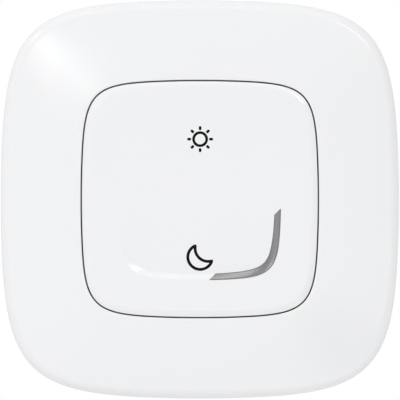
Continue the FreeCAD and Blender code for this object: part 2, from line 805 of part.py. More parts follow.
polygon(entry, [
    (negative("earTop"), negative("hingeEntry/2")),
    (negative("hingeDepth"), negative("hingeEntry/2")),
    (negative("hingeDepth"), "hingeEntry/2"),
    (negative("earTop"), "hingeEntry/2"),
])
gap = front.newObject("PartDesign::Pocket", "bearing_gap")
gap.Profile = entry
gap.Type = "ThroughAll"
gap.Midplane = True
doc.recompute()

# Housing screws: driven from the back through the rear housing into the posts of the front one.
screws = new_body("housing_screws")
screws.AllowCompound = True
heads = sketch_on(screws, "heads", "screwHeadBack")
for x, z in corners_of("screwCentre"):
    circle(heads, x, z, "screwHead")
pad(screws, heads, "counterFront - screwHeadBack")
shanks = sketch_on(screws, "shanks", "counterFront")
for x, z in corners_of("screwCentre"):
    circle(shanks, x, z, "screwShank")
pad(screws, shanks, "screwTip - counterFront")
round_edges(screws, "screwHeadBack", "screwHeadRound")
for name, width, height in (
    ("level", "driverLength", "driverWidth"),
    ("upright", "driverWidth", "driverLength"),
):
    recess = sketch_on(screws, "driver_" + name, "driverFront")
    for x, z in corners_of("screwCentre"):
        rectangle(recess, x, z, width, height)
    pocket(screws, recess, "driverDepth")

# Circuit board: notched at the screw posts, with a round hole that the cell stands in.
board = new_body("circuit_board")
outline = sketch_on(board, "outline", "boardBack")
rectangle(outline, "0", "0", "boardSide", "boardSide")
pad(board, outline, "boardThick")
cuts = sketch_on(board, "cuts", "boardFront")
circle(cuts, "0", "0", "boardHole")
for x in both("pinCentreX"):
    for z in both("pinCentreZ"):
        circle(cuts, x, z, "pinHole")
for x, z in corners_of("notchCentre"):
    rectangle(cuts, x, z, "notchSide", "notchSide")
pocket(board, cuts, "boardThick")

# Coin cell, standing in the hole of the board.
cell = new_body("battery_cell")
cap = sketch_on(cell, "cap", "cellBack")
circle(cap, "0", "0", "cellCapRadius")
pad(cell, cap, "cellCapThick")
can = sketch_on(cell, "can", "cellShoulder")
circle(can, "0", "0", "cellRadius")
pad(cell, can, "cellFront - cellShoulder")
for depth in ("cellFront", "cellShoulder"):
    round_edges(cell, depth, "cellRound", "cellRadius")


# A contact is a bent strip, drawn from its edge and as wide as contactWidth.
def contact(label, corners):
    body = new_body(label)
    profile = sketch_on(body, "profile", "0", "XY_Plane")
    polygon(profile, corners)
    strip = pad(body, profile, "contactWidth")
    strip.Midplane = True


contact("battery_contact_positive", [
    (negative("contactFootEnd"), negative("boardFront")),
    (negative("contactBend") + " + contactThick", negative("boardFront")),
    (negative("contactBend") + " + contactThick", negative("cellFront")),
    (negative("contactArmEnd"), negative("cellFront")),
    (negative("contactArmEnd"), negative("cellFront") + " - contactThick"),
    (negative("contactBend"), negative("cellFront") + " - contactThick"),
    (negative("contactBend"), negative("boardFront") + " - contactThick"),
    (negative("contactFootEnd"), negative("boardFront") + " - contactThick"),
])
contact("battery_contact_negative", [
    ("contactFootEnd", negative("boardBack")),
    ("contactBend - contactThick", negative("boardBack")),
    ("contactBend - contactThick", negative("cellBack")),
    (negative("leafEnd"), negative("cellBack")),
    (negative("leafEnd"), negative("cellBack") + " + contactThick"),
    ("contactBend", negative("cellBack") + " + contactThick"),
    ("contactBend", negative("boardBack") + " + contactThick"),
    ("contactFootEnd", negative("boardBack") + " + contactThick"),
])

# Parts soldered to the front of the board.
box("radio_module", negative("canX"), "canZ", "boardFront", "canWidth", "canHeight", "canThick")
box("chip_antenna", negative("antennaX"), "antennaZ", "boardFront",
    "antennaWidth", "antennaHeight", "antennaThick")
box("microcontroller", "chipX", "chipZ", "boardFront", "chipSide", "chipSide", "chipThick")
box("crystal", "crystalX", "crystalZ", "boardFront",
    "crystalWidth", "crystalHeight", "crystalThick")
box("indicator_led", "lampCentre", negative("lampCentre"), "boardFront",
    "lampSide", "lampSide", "lampHeight")
capacitors = new_body("capacitors")
capacitors.AllowCompound = True
spots = sketch_on(capacitors, "spots", "boardFront")
for x in both("capacitorColumn"):
    for z in both("capacitorRow") + ("capacitorRow + capacitorPitch",):
        rectangle(spots, x, z, "capacitorWidth", "capacitorHeight")
pad(capacitors, spots, "capacitorThick")


# Two low switches, one above and one below the hinge line, each with a soft dome on top.
def switch(prefix, up):
    box(prefix + "_switch_base", "0", up, "boardFront", "switchSide", "switchSide", "switchThick")
    body = new_body(prefix + "_switch_dome")
    disc = sketch_on(body, "disc", "switchTop")
    circle(disc, "0", up, "domeRadius")
    pad(body, disc, "domeRise")
    round_edges(body, "domeTop", "domeRound")


switch("upper", "switchOffset")
switch("lower", negative("switchOffset"))

# Key carrier: snaps its two pins into the ears of the front housing and presses the domes.
carrier = new_body("key_carrier")
plate = sketch_on(carrier, "plate", "hingeDepth")
bowed_square(plate, "opening", "carrierInset")
pad(carrier, plate, "carrierThick")
cuts = sketch_on(carrier, "cuts", "keyInside")
circle(cuts, "0", "0", "carrierWindow")
for x in both("earCentre"):
    rectangle(cuts, x, "0", "earNotchWidth", "earNotchHeight")
for x in both("tabX"):
    for z in both("tabSlotZ"):
        rectangle(cuts, x, z, "tabSlotWidth", "tabSlotHeight")
rectangle(cuts, "lampCentre", negative("lampCentre"), "tailHole", "tailHole")
pocket(carrier, cuts, "carrierThick")
lugs = sketch_on(carrier, "lugs", "lugBack")
for x in both("lugCentre"):
    rectangle(lugs, x, "0", "lugThick", "lugHeight")
pad(carrier, lugs, "lugDrop + 0.3")
noses = sketch_on(carrier, "noses", "noseBack")
for z in both("switchOffset"):
    circle(noses, "0", z, "noseRadius")
pad(carrier, noses, "hingeDepth - noseBack + 0.3")
for name, start in (("pin_right", "pinStart"), ("pin_left", negative("pinEnd"))):
    pin = sketch_on(carrier, name, start, "YZ_Plane")
    circle(pin, negative("hingeDepth"), "0", "hingePin")
    pad(carrier, pin, "pinEnd - pinStart")


# The part of the bowed ring on the lower right of the diagonal line.
def ring_part(label, outer_inset, inner_inset, height):
    body = new_body(label)
    ring = sketch_on(body, "ring", "barFloor")
    bowed_square(ring, "ring", outer_inset)
    bowed_square(ring, "ring", inner_inset)
    pad(body, ring, height)
    rest = sketch_on(body, "rest", "barFloor + " + height)
    polygon(rest, [
        ("barDiagonal - ringSide", negative("ringSide")),
        ("ringSide", "ringSide - barDiagonal"),
        ("ringSide", "ringSide"),
        (negative("ringSide"), "ringSide"),
        (negative("ringSide"), negative("ringSide")),
    ])
    pocket(body, rest, height)
    return body


# Finger dish: everything in front of a large cylinder, below the hinge line and inside the ring.
column = new_body("dish_column")
deep = sketch_on(column, "deep", "keyFace - dishDepth")
bowed_square(deep, "ring", "dishRamp")
shallow = sketch_on(column, "shallow", "keyFace")
bowed_square(shallow, "ring")
loft(column, [deep, shallow], "AdditiveLoft")
upper_half = sketch_on(column, "upper_half", "keyFace")
polygon(upper_half, [
    (negative("ringSide"), "0"),
    ("ringSide", "0"),
    ("ringSide", "ringSide"),
    (negative("ringSide"), "ringSide"),
])
pocket(column, upper_half, "dishDepth")
sweep = doc.addObject("Part::Cylinder", "dish_cylinder")
sweep.setExpression("Radius", formula("dishRadius"))
sweep.setExpression("Height", formula("openingSide"))
sweep.Placement.Rotation = FreeCAD.Rotation(FreeCAD.Vector(0, 1, 0), 90)
sweep.setExpression("Placement.Base.x", formula("0 - openingSide/2"))
sweep.setExpression("Placement.Base.y", formula("dishRadius - keyFace - dishRise"))


def cut(label, base, tool):
    part = doc.addObject("Part::Cut", label)
    part.Label = label
    part.Base = base
    part.Tool = tool
    doc.recompute()
    return part


dish = cut("dish", column, sweep)

# Key cap: a flat cap with a bevelled edge, snapped to the carrier by four tabs.
blank = new_body("key_blank")
skirt = sketch_on(blank, "skirt", "keyBack")
bowed_square(skirt, "opening", "keyGap")
pad(blank, skirt, "keyEdge - keyBack")
low = sketch_on(blank, "bevel_low", "keyEdge")
bowed_square(low, "opening", "keyGap")
high = sketch_on(blank, "bevel_high", "keyFace")
bowed_square(high, "opening", "keyFaceInset")
loft(blank, [low, high], "AdditiveLoft")
inside = sketch_on(blank, "inside", "keyInside")
bowed_square(inside, "opening", "keyHollowInset")
pocket(blank, inside, "keySkirtLength")
tabs = sketch_on(blank, "tabs", "tabBack")
for x in both("tabX"):
    for z in both("tabZ"):
        rectangle(tabs, x, z, "tabWidth", "tabThick")
pad(blank, tabs, "keyInside - tabBack + 0.2")
hooks = sketch_on(blank, "tab_hooks", "tabBack")
for x in both("tabX"):
    for z in both("tabBarbZ"):
        rectangle(hooks, x, z, "tabWidth", "tabBarbThick")
pad(blank, hooks, "tabBarbHeight")
hole = sketch_on(blank, "tail_hole", "barFloor")
rectangle(hole, "lampCentre", negative("lampCentre"), "tailHole", "tailHole")
pocket(blank, hole, "barFloor - keyInside")
groove = ring_part("bar_groove", negative("barClear"), "grooveInset", "keyFace - barFloor")
cut("key_cap", cut("key_dished", blank, dish), groove)

# Light bar: a lens along the ramp of the dish, with a tail that reaches back to the lamp.
bar = ring_part("bar_blank", "0", "dishRamp", "keyFace - barFloor")
tail = sketch_on(bar, "tail", "tailBack")
rectangle(tail, "lampCentre", negative("lampCentre"), "tailSide", "tailSide")
pad(bar, tail, "barFloor - tailBack")
cut("light_bar", bar, dish)

labels = [
    "cover_plate", "mounting_frame", "adhesive_pads", "rear_housing", "front_housing",
    "housing_screws", "circuit_board", "battery_cell", "battery_contact_positive",
    "battery_contact_negative", "radio_module", "chip_antenna", "microcontroller", "crystal",
    "capacitors", "indicator_led", "upper_switch_base", "lower_switch_base",
    "upper_switch_dome", "lower_switch_dome", "key_carrier", "key_cap", "light_bar",
]
doc.recompute()
for thing in doc.Objects:
    if "Invalid" in thing.State or "Error" in thing.State:
        raise RuntimeError(thing.Name + " did not rebuild")
for label in labels:
    shape = doc.getObjectsByLabel(label)[0].Shape
    if shape.isNull() or not shape.isValid():
        raise RuntimeError(label + " has no valid shape")
    shape.exportStep("parts/%s.step" % label)
    print(label, len(shape.Solids), round(shape.Volume, 2))
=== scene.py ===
import json
import math

import bmesh
import bpy
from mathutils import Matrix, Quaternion, Vector


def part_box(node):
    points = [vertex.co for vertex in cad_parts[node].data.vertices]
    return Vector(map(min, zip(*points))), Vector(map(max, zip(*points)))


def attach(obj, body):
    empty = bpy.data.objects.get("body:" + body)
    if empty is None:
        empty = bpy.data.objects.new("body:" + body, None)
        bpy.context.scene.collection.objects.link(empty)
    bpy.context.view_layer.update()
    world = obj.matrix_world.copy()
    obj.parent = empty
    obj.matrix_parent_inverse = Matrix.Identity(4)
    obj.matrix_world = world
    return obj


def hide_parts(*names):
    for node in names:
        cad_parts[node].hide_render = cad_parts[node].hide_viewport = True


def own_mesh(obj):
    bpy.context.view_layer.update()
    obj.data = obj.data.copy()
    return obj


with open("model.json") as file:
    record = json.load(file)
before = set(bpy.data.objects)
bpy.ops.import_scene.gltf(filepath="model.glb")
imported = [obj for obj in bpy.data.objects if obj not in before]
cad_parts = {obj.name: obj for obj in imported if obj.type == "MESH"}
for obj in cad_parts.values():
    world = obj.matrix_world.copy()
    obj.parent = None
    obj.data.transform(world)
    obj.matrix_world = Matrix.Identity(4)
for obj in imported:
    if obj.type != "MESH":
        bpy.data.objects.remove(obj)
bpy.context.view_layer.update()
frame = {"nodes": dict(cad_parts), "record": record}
mm = 0.001
fullTurn = 2 * math.pi
sharpFrom = 32  # degrees between two faces from which the edge between them is shaded as sharp
print("frame loaded:", len(frame["nodes"]), "nodes")


# Places are given as x across, z up and depth in front of the wall, in millimetres.
def place(x, depth, z):
    return Vector((x * mm, -depth * mm, z * mm))


def roundAngles(count):
    return [fullTurn * i / count for i in range(count)]


def quarterAngles(steps, first=0):
    return [math.radians(90 * i / steps) for i in range(first, steps + 1)]


# A square with bowed sides: |x|^power + |z|^power + bow * x^2 * z^2 = 1 for a half side of 1.
def bowedPoint(angle, half, power, bow, inset=0.0, rounds=8):
    c, s = math.cos(angle), math.sin(angle)
    square = abs(c) ** power + abs(s) ** power
    cross = bow * c * c * s * s
    reach = square ** (-1 / power)
    for _ in range(rounds):
        error = square * reach ** power + cross * reach ** 4 - 1
        reach -= error / (power * square * reach ** (power - 1) + 4 * cross * reach ** 3)
    x, z = reach * c, reach * s
    nx = math.copysign(power * abs(x) ** (power - 1), x) + 2 * bow * x * z * z
    nz = math.copysign(power * abs(z) ** (power - 1), z) + 2 * bow * z * x * x
    size = math.hypot(nx, nz)
    return half * x - inset * nx / size, half * z - inset * nz / size


def meshPiece(name, vertices, faces, sharpAngle=sharpFrom):
    mesh = bpy.data.meshes.new(name)
    mesh.from_pydata(vertices, [], faces)
    shape = bmesh.new()
    shape.from_mesh(mesh)
    bmesh.ops.recalc_face_normals(shape, faces=shape.faces)
    shape.to_mesh(mesh)
    shape.free()
    mesh.shade_smooth()
    mesh.set_sharp_from_angle(angle=math.radians(sharpAngle))
    piece = bpy.data.objects.new(name, mesh)
    bpy.context.scene.collection.objects.link(piece)
    return piece


# Joins rings of points with faces, and with closed set the last ring to the first as well.
def joinRings(rings, closed=False):
    count, rows = len(rings[0]), len(rings)
    vertices = [point for ring in rings for point in ring]
    faces = []
    for i in range(rows if closed else rows - 1):
        low, high = i * count, ((i + 1) % rows) * count
        for j in range(count):
            k = (j + 1) % count
            faces.append((low + j, low + k, high + k, high + j))
    return vertices, faces


def addBlock(vertices, faces, low, high):
    first = len(vertices)
    for x in (low[0], high[0]):
        for depth in (low[1], high[1]):
            for z in (low[2], high[2]):
                vertices.append(place(x, depth, z))
    for corners in ((0, 1, 3, 2), (4, 6, 7, 5), (0, 4, 5, 1), (2, 3, 7, 6), (0, 2, 6, 4), (1, 5, 7, 3)):
        faces.append(tuple(first + i for i in corners))


# Closes the first and the last ring with one face each.
def capEnds(vertices, faces, count):
    faces.append(tuple(range(count)))
    faces.append(tuple(range(len(vertices) - count, len(vertices))))


def softEdges(piece, width, steps=2, fromAngle=30):
    bevel = piece.modifiers.new("softEdges", "BEVEL")
    bevel.width = width * mm
    bevel.segments = steps
    bevel.limit_method = "ANGLE"
    bevel.angle_limit = math.radians(fromAngle)
    return bevel


plate = {  # the edge at the back is given ring by ring, as inset and rise
    "half": 43.0, "power": 5.2, "bow": 0.387,
    "openingHalf": 25.7, "openingPower": 6.52, "openingBow": 0.353,
    "back": 0.6, "backEdge": ((0.3, 0.0), (0.1, 0.05), (0.0, 0.2)), "draft": 0.25,
    "rimTop": 8.24, "rimRound": 2.5, "crownRise": 0.22, "lipTop": 10.6, "lipLand": 0.45, "lipRound": 0.18,
    "skirtWall": 1.7, "skirtTop": 6.0, "shoulder": 7.1, "shoulderInset": 3.4, "cavityTop": 8.75,
    "collarWall": 1.45, "collarBack": 7.7,
    "columns": 512, "rollSteps": 20, "slopeSteps": 18, "lipSteps": 5, "leanRounds": 3,
}
plateAngles = roundAngles(plate["columns"])


def plateRing(inset, depth):
    return [place(x, depth, z) for x, z in (
        bowedPoint(a, plate["half"], plate["power"], plate["bow"], inset) for a in plateAngles)]


def openingPoint(angle, inset):
    return bowedPoint(angle, plate["openingHalf"], plate["openingPower"], plate["openingBow"], inset)


def openingRing(offset, depth):
    return [place(x, depth, z) for x, z in (openingPoint(a, -offset) for a in plateAngles)]


# One line over the plate's front: round the rim, then up the bowed slope to the lip.
def frontLine(angle):
    rim = bowedPoint(angle, plate["half"], plate["power"], plate["bow"])
    lip = openingPoint(angle, -plate["lipLand"])
    length = math.dist(rim, lip)
    rise, crown = plate["lipTop"] - plate["rimTop"], 4 * plate["crownRise"]

    def slopeAt(t):
        return plate["rimTop"] + rise * t + crown * t * (1 - t)

    lean = 0.0
    for _ in range(plate["leanRounds"]):
        foot = plate["rimRound"] * (1 - math.sin(lean)) / length
        lean = math.atan((rise + crown * (1 - 2 * foot)) / length)
    centre = slopeAt(foot) - plate["rimRound"] * math.cos(lean)
    line = []
    for i in range(plate["rollSteps"]):
        turn = (math.pi / 2 - lean) * i / plate["rollSteps"]
        inset = plate["rimRound"] * (1 - math.cos(turn))
        line.append((inset / length, centre + plate["rimRound"] * math.sin(turn)))
    for i in range(plate["slopeSteps"] + 1):
        t = foot + (1 - foot) * i / plate["slopeSteps"]
        line.append((t, slopeAt(t)))
    return [place(rim[0] + (lip[0] - rim[0]) * t, depth, rim[1] + (lip[1] - rim[1]) * t) for t, depth in line]


plateRows = [plateRing(plate["draft"] + inset, plate["back"] + rise) for inset, rise in plate["backEdge"]]
plateRows += [list(row) for row in zip(*(frontLine(a) for a in plateAngles))]
for turn in quarterAngles(plate["lipSteps"]):
    plateRows.append(openingRing(
        plate["lipRound"] * (1 - math.sin(turn)), plate["lipTop"] - plate["lipRound"] * (1 - math.cos(turn))))
plateRows += [
    openingRing(0.0, plate["collarBack"]),
    openingRing(plate["collarWall"], plate["collarBack"]),
    openingRing(plate["collarWall"], plate["cavityTop"]),
    plateRing(plate["shoulderInset"], plate["shoulder"]),
    plateRing(plate["skirtWall"], plate["skirtTop"]),
    plateRing(plate["skirtWall"], plate["back"]),
]
coverPlate = meshPiece("coverPlate", *joinRings(plateRows, closed=True))
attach(coverPlate, "base")
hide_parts("cover_plate")

clips = {
    "braceAt": (26.85, 38.1), "braceDepths": (6.35, 8.74), "seatAt": (35.7, 38.1), "seatDepths": (4.2, 8.0),
    "braceHalf": 0.6, "offset": 20.0,
    "tongueAt": (38.25, 39.45), "tongueHalf": 5.0, "tongueDepths": (1.6, 7.6),
    "barbAt": (37.35, 38.85), "barbDepths": (2.5, 3.3), "soft": 0.15,
}
clipVertices, clipFaces = [], []
for side in (-1, 1):
    for across in (False, True):
        width = (-clips["tongueHalf"], clips["tongueHalf"])
        blocks = [(clips["tongueAt"], width, clips["tongueDepths"]),
                  (clips["barbAt"], width, clips["barbDepths"])]
        for shift in (-clips["offset"], clips["offset"]):
            width = (shift - clips["braceHalf"], shift + clips["braceHalf"])
            blocks.append((clips["braceAt"], width, clips["braceDepths"]))
            blocks.append((clips["seatAt"], width, clips["seatDepths"]))
        for reach, width, depths in blocks:
            a, b = sorted(side * r for r in reach)
            low, high = (a, depths[0], width[0]), (b, depths[1], width[1])
            if across:
                low, high = (width[0], depths[0], a), (width[1], depths[1], b)
            addBlock(clipVertices, clipFaces, low, high)
coverClips = meshPiece("coverClips", clipVertices, clipFaces)
softEdges(coverClips, clips["soft"])
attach(coverClips, "base")
print("cover plate made")


key = {
    "face": 10.835, "edge": 10.5, "back": 8.1, "inside": 8.9,
    "gap": 0.3, "bevel": 1.5, "bevelPower": 1.6, "edgeRound": 0.12, "skirt": 1.3, "hollowReach": 10.0,
    "dishRadius": 250.0, "rampFrom": 16.16, "rampTo": 17.46, "rampEase": 0.16,
    "rampPowers": (8.0, 6.23), "rampBows": (0.817, 0.406),
    "barDiagonal": 19.50, "grooveClear": 0.03, "grooveFloor": 9.5,
    "columns": 576, "faceSteps": 34, "rampSteps": 14, "marginSteps": 12, "bevelSteps": 10, "edgeSteps": 4,
    "coreShare": 0.4, "grooveMargin": 0.2, "marginSpread": 1.3,  # how the rings of the face are spaced
    "turnFade": 2.5, "turnBeyond": 3.0, "turnSpan": 0.22,  # how far from the bar's ends columns are turned
}
keyAngles = roundAngles(key["columns"])


# Rises from 0 to 1 with a straight middle and a soft start and end.
def softRamp(s, ease):
    if s <= 0:
        return 0.0
    if s >= 1:
        return 1.0
    steep = 1 / (1 - ease)
    if s < ease:
        return steep * s * s / (2 * ease)
    if s > 1 - ease:
        return 1 - steep * (1 - s) ** 2 / (2 * ease)
    return steep * (s - ease / 2)


# How far a ring lies up the dish's ramp, from 0 at its foot to 1 at its top.
def rampShare(half):
    return (half - key["rampFrom"]) / (key["rampTo"] - key["rampFrom"])


def rampPoint(angle, half):
    share = min(max(rampShare(half), 0.0), 1.0)
    power, bow = (a + (b - a) * share for a, b in (key["rampPowers"], key["rampBows"]))
    return bowedPoint(angle, half, power, bow)


def dishDepth(z, s):
    drop = z * z / (2 * key["dishRadius"]) if z < 0 else 0.0
    return key["face"] - drop * (1 - softRamp(s, key["rampEase"]))


# The angle where a ring of the ramp crosses the line x - z = diagonal, on its lower or its right side.
def diagonalAngle(half, diagonal, lower, rounds=50):
    low, high = (-math.pi / 2, -math.pi / 4) if lower else (-math.pi / 4, 0.0)
    for _ in range(rounds):
        middle = (low + high) / 2
        x, z = rampPoint(middle, half)
        inside = x - z > diagonal
        if inside == lower:
            high = middle
        else:
            low = middle
    return (low + high) / 2


grooveFrom = key["rampFrom"] - key["grooveClear"]
grooveTo = key["rampTo"] + key["grooveClear"]
grooveDiagonal = key["barDiagonal"] - key["grooveClear"] * math.sqrt(2)
grooveMiddle = (grooveFrom + grooveTo) / 2
stepAngle = fullTurn / key["columns"]
cutColumns = [round(diagonalAngle(grooveMiddle, grooveDiagonal, lower) % fullTurn / stepAngle)
              for lower in (False, True)]


# Turns the columns near the slanted ends of the bar so that one of them runs along each end.
def turnedAngle(angle, half):
    reach = min(max(half, grooveFrom), grooveTo)
    fade = max(0.0, 1 - abs(half - reach) / key["turnFade"])
    fade = fade * fade * (3 - 2 * fade)
    turned = angle
    for lower, column in zip((False, True), cutColumns):
        home = column * stepAngle
        away = (angle - home + math.pi) % fullTurn - math.pi
        if abs(away) < key["turnSpan"]:
            wanted = diagonalAngle(reach, grooveDiagonal, lower) % fullTurn
            turned += (wanted - home) * math.cos(away / key["turnSpan"] * math.pi / 2) ** 2 * fade
    return turned


keyRows = []
halves = [key["rampFrom"] * (i + key["coreShare"]) / key["faceSteps"] for i in range(key["faceSteps"])]
halves = [h for h in halves if h < grooveFrom - key["grooveMargin"]] + [grooveFrom]
grooveRow = len(halves) - 1
rampWidth = key["rampTo"] - key["rampFrom"]
halves += [key["rampFrom"] + rampWidth * i / key["rampSteps"] for i in range(key["rampSteps"] + 1)]
halves.append(grooveTo)
grooveEndRow = len(halves) - 1
for half in halves:
    ring = []
    for angle in keyAngles:
        x, z = rampPoint(turnedAngle(angle, half), half)
        ring.append(place(x, dishDepth(z, rampShare(half)), z))
    keyRows.append(ring)


def keyEdgeRing(inset, depth):
    return [place(x, depth, z) for x, z in (openingPoint(a, key["gap"] + inset) for a in keyAngles)]


faceEdge = keyEdgeRing(key["bevel"], key["face"])
for i in range(1, key["marginSteps"] + 1):
    t = (i / key["marginSteps"]) ** key["marginSpread"]
    half = grooveTo + key["turnBeyond"] * t
    ring = []
    for j, angle in enumerate(keyAngles):
        x, z = rampPoint(turnedAngle(angle, half), grooveTo)
        ring.append(place(x, key["face"], z).lerp(faceEdge[j], t))
    keyRows.append(ring)
for i in range(1, key["bevelSteps"] + 1):
    u = i / key["bevelSteps"]
    keyRows.append(keyEdgeRing(key["bevel"] + (key["edgeRound"] - key["bevel"]) * u,
                               key["face"] - (key["face"] - key["edge"]) * u ** key["bevelPower"]))
for turn in quarterAngles(key["edgeSteps"], 1):
    keyRows.append(keyEdgeRing(
        key["edgeRound"] * (1 - math.sin(turn)), key["edge"] - key["edgeRound"] * (1 - math.cos(turn))))
keyRows += [
    keyEdgeRing(0.0, key["back"]),
    keyEdgeRing(key["skirt"], key["back"]),
    keyEdgeRing(key["skirt"], key["inside"]),
    keyEdgeRing(key["skirt"] + key["hollowReach"], key["inside"]),
]
keyVertices, keyFaces = joinRings(keyRows)
columns = key["columns"]
firstCut, lastCut = cutColumns[1], cutColumns[0]


def inGroove(face):
    row, column = face[0] // columns, face[0] % columns
    return grooveRow <= row < grooveEndRow and firstCut <= column < lastCut


keyFaces = [face for face in keyFaces if not inGroove(face)]
capEnds(keyVertices, keyFaces, columns)

# The groove for the light bar: walls down from the rim of the opening, and a floor.
rim = [(grooveRow, c) for c in range(firstCut, lastCut)]
rim += [(r, lastCut) for r in range(grooveRow, grooveEndRow)]
rim += [(grooveEndRow, c) for c in range(lastCut, firstCut, -1)]
rim += [(r, firstCut) for r in range(grooveEndRow, grooveRow, -1)]
floorOf = {}
for r, c in rim:
    top = keyVertices[r * columns + c]
    floorOf[(r, c)] = len(keyVertices)
    keyVertices.append(Vector((top.x, -key["grooveFloor"] * mm, top.z)))
for a, b in zip(rim, rim[1:] + rim[:1]):
    keyFaces.append((a[0] * columns + a[1], b[0] * columns + b[1], floorOf[b], floorOf[a]))
for c in range(firstCut, lastCut):
    keyFaces.append((floorOf[(grooveRow, c)], floorOf[(grooveRow, c + 1)],
                     floorOf[(grooveEndRow, c + 1)], floorOf[(grooveEndRow, c)]))
keyFaces.append(tuple(floorOf[(r, firstCut)] for r in range(grooveRow, grooveEndRow + 1)))
keyFaces.append(tuple(floorOf[(r, lastCut)] for r in range(grooveRow, grooveEndRow + 1)))
keyCap = meshPiece("keyCap", keyVertices, keyFaces)
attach(keyCap, "key")
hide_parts("key_cap")

tabs = {
    "x": 13.0, "z": 18.95, "width": 3.0, "thick": 1.2, "depths": (7.2, 9.0),
    "barb": 0.95, "barbDepth": 0.42, "soft": 0.1,
}
tabVertices, tabFaces = [], []
for x in (-tabs["x"], tabs["x"]):
    left, right = x - tabs["width"] / 2, x + tabs["width"] / 2
    back, front = tabs["depths"]
    for side in (-1, 1):
        a, b = sorted((side * (tabs["z"] - tabs["thick"] / 2), side * (tabs["z"] + tabs["thick"] / 2)))
        addBlock(tabVertices, tabFaces, (left, back, a), (right, front, b))
        a, b = sorted((side * tabs["z"], side * (tabs["z"] + tabs["barb"])))
        addBlock(tabVertices, tabFaces, (left, back, a), (right, back + tabs["barbDepth"], b))
keyTabs = meshPiece("keyTabs", tabVertices, tabFaces)
softEdges(keyTabs, tabs["soft"])
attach(keyTabs, "key")

bar = {
    "shrink": 0.02, "steps": 10, "edge": 0.09, "edgeSteps": 3, "crown": 0.05, "columns": 150,
    "tailAt": 14.35, "tailHalf": 0.7, "tailDepths": (7.0, 9.6), "sharpAngle": 50,
}
barFrom, barTo = key["rampFrom"] + bar["shrink"], key["rampTo"] - bar["shrink"]
barDiagonal = key["barDiagonal"] + bar["shrink"] * math.sqrt(2)


# The point at share t of the way along the bar, from its lower end to its upper end.
def barPoint(half, t):
    start = diagonalAngle(half, barDiagonal, True)
    finish = diagonalAngle(half, barDiagonal, False)
    return rampPoint(start + (finish - start) * t, half)


# One line over the bar's face, as the ring that each point lies on and how far it sinks below the dish.
across = []
for turn in quarterAngles(bar["edgeSteps"]):
    across.append((barFrom + bar["edge"] * (1 - math.cos(turn)), bar["edge"] * (1 - math.sin(turn))))
inner = across[-1][0]
for i in range(1, bar["steps"]):
    across.append((inner + (barTo + barFrom - 2 * inner) * i / bar["steps"], 0.0))
across += [(barTo + barFrom - half, sink) for half, sink in reversed(across[:bar["edgeSteps"] + 1])]
middle = (barFrom + barTo) / 2
across = [(half, sink + bar["crown"] * ((half - middle) / (barTo - middle)) ** 2) for half, sink in across]
barLoops = []
for j in range(bar["columns"] + 1):
    t = j / bar["columns"]
    loop = []
    for half, sink in across:
        x, z = barPoint(half, t)
        loop.append(place(x, dishDepth(z, rampShare(half)) - sink, z))
    for half in (barTo, barFrom):
        x, z = barPoint(half, t)
        loop.append(place(x, key["grooveFloor"], z))
    barLoops.append(loop)
barVertices, barFaces = joinRings(barLoops)
capEnds(barVertices, barFaces, len(barLoops[0]))
tail, half = bar["tailAt"], bar["tailHalf"]
back, front = bar["tailDepths"]
addBlock(barVertices, barFaces, (tail - half, back, -tail - half), (tail + half, front, -tail + half))
lightBar = meshPiece("lightBar", barVertices, barFaces, bar["sharpAngle"])
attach(lightBar, "key")
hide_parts("light_bar")
print("key and light bar made")


dome = {
    "turns": 48, "skirt": 0.10, "lean": 0.06, "leanRise": 0.05, "round": 0.45, "roundSteps": 8,
    "dimple": 0.06, "dimpleShares": (0.45, 0.35), "dimpleCore": 0.05, "keep": 0.60,
}
domes = {"upperDome": "upper_switch_dome", "lowerDome": "lower_switch_dome"}
for name, node in domes.items():
    low, high = (Vector(corner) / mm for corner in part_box(node))
    x, z, radius = (low.x + high.x) / 2, (low.z + high.z) / 2, (high.x - low.x) / 2
    back, front = -high.y, -low.y
    neck, skirtTop = radius - dome["lean"], back + dome["skirt"]
    profile = [(radius, back), (radius, skirtTop), (neck, skirtTop + dome["leanRise"])]
    for turn in quarterAngles(dome["roundSteps"]):
        profile.append((neck - dome["round"] * (1 - math.cos(turn)),
                        front - dome["round"] * (1 - math.sin(turn))))
    outer, inner = dome["dimpleShares"]
    sunk = front - dome["dimple"]
    profile += [(radius * outer, front), (radius * inner, sunk), (dome["dimpleCore"], sunk)]
    rings = []
    for reach, depth in profile:
        rings.append([place(x + reach * math.cos(t), depth, z + reach * math.sin(t))
                      for t in roundAngles(dome["turns"])])
    vertices, faces = joinRings(rings)
    capEnds(vertices, faces, dome["turns"])
    piece = meshPiece(name, vertices, faces)
    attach(piece, "base")
    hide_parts(node)
    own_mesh(piece)
print("domes made")

# The moulded parts seen from behind keep their form and get the small radii that moulds leave on edges.
moulded = {
    "frameShell": ("mounting_frame", "grey_frame", 0.14),
    "rearShell": ("rear_housing", "housing_plastic", 0.12),
    "carrierShell": ("key_carrier", "housing_plastic", 0.08),
    "foamStrips": ("adhesive_pads", "foam_pad", 0.12),
    "screwHeads": ("housing_screws", "screw_steel", 0.05),
}
weldGap, flatAngle = 0.002, 1  # millimetres between points that are one, degrees within which faces are one
for name, (node, slot, width) in moulded.items():
    mesh = frame["nodes"][node].data.copy()
    mesh.name = name
    shape = bmesh.new()
    shape.from_mesh(mesh)
    bmesh.ops.remove_doubles(shape, verts=shape.verts, dist=weldGap * mm)
    bmesh.ops.dissolve_limit(shape, angle_limit=math.radians(flatAngle), verts=shape.verts, edges=shape.edges)
    shape.to_mesh(mesh)
    shape.free()
    mesh.shade_smooth()
    mesh.set_sharp_from_angle(angle=math.radians(sharpFrom))
    piece = bpy.data.objects.new(name, mesh)
    piece.matrix_world = frame["nodes"][node].matrix_world.copy()
    bpy.context.scene.collection.objects.link(piece)
    softEdges(piece, width).harden_normals = True
    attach(piece, "key" if node == "key_carrier" else "base")
    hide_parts(node)
print("moulded parts made:", len(moulded))


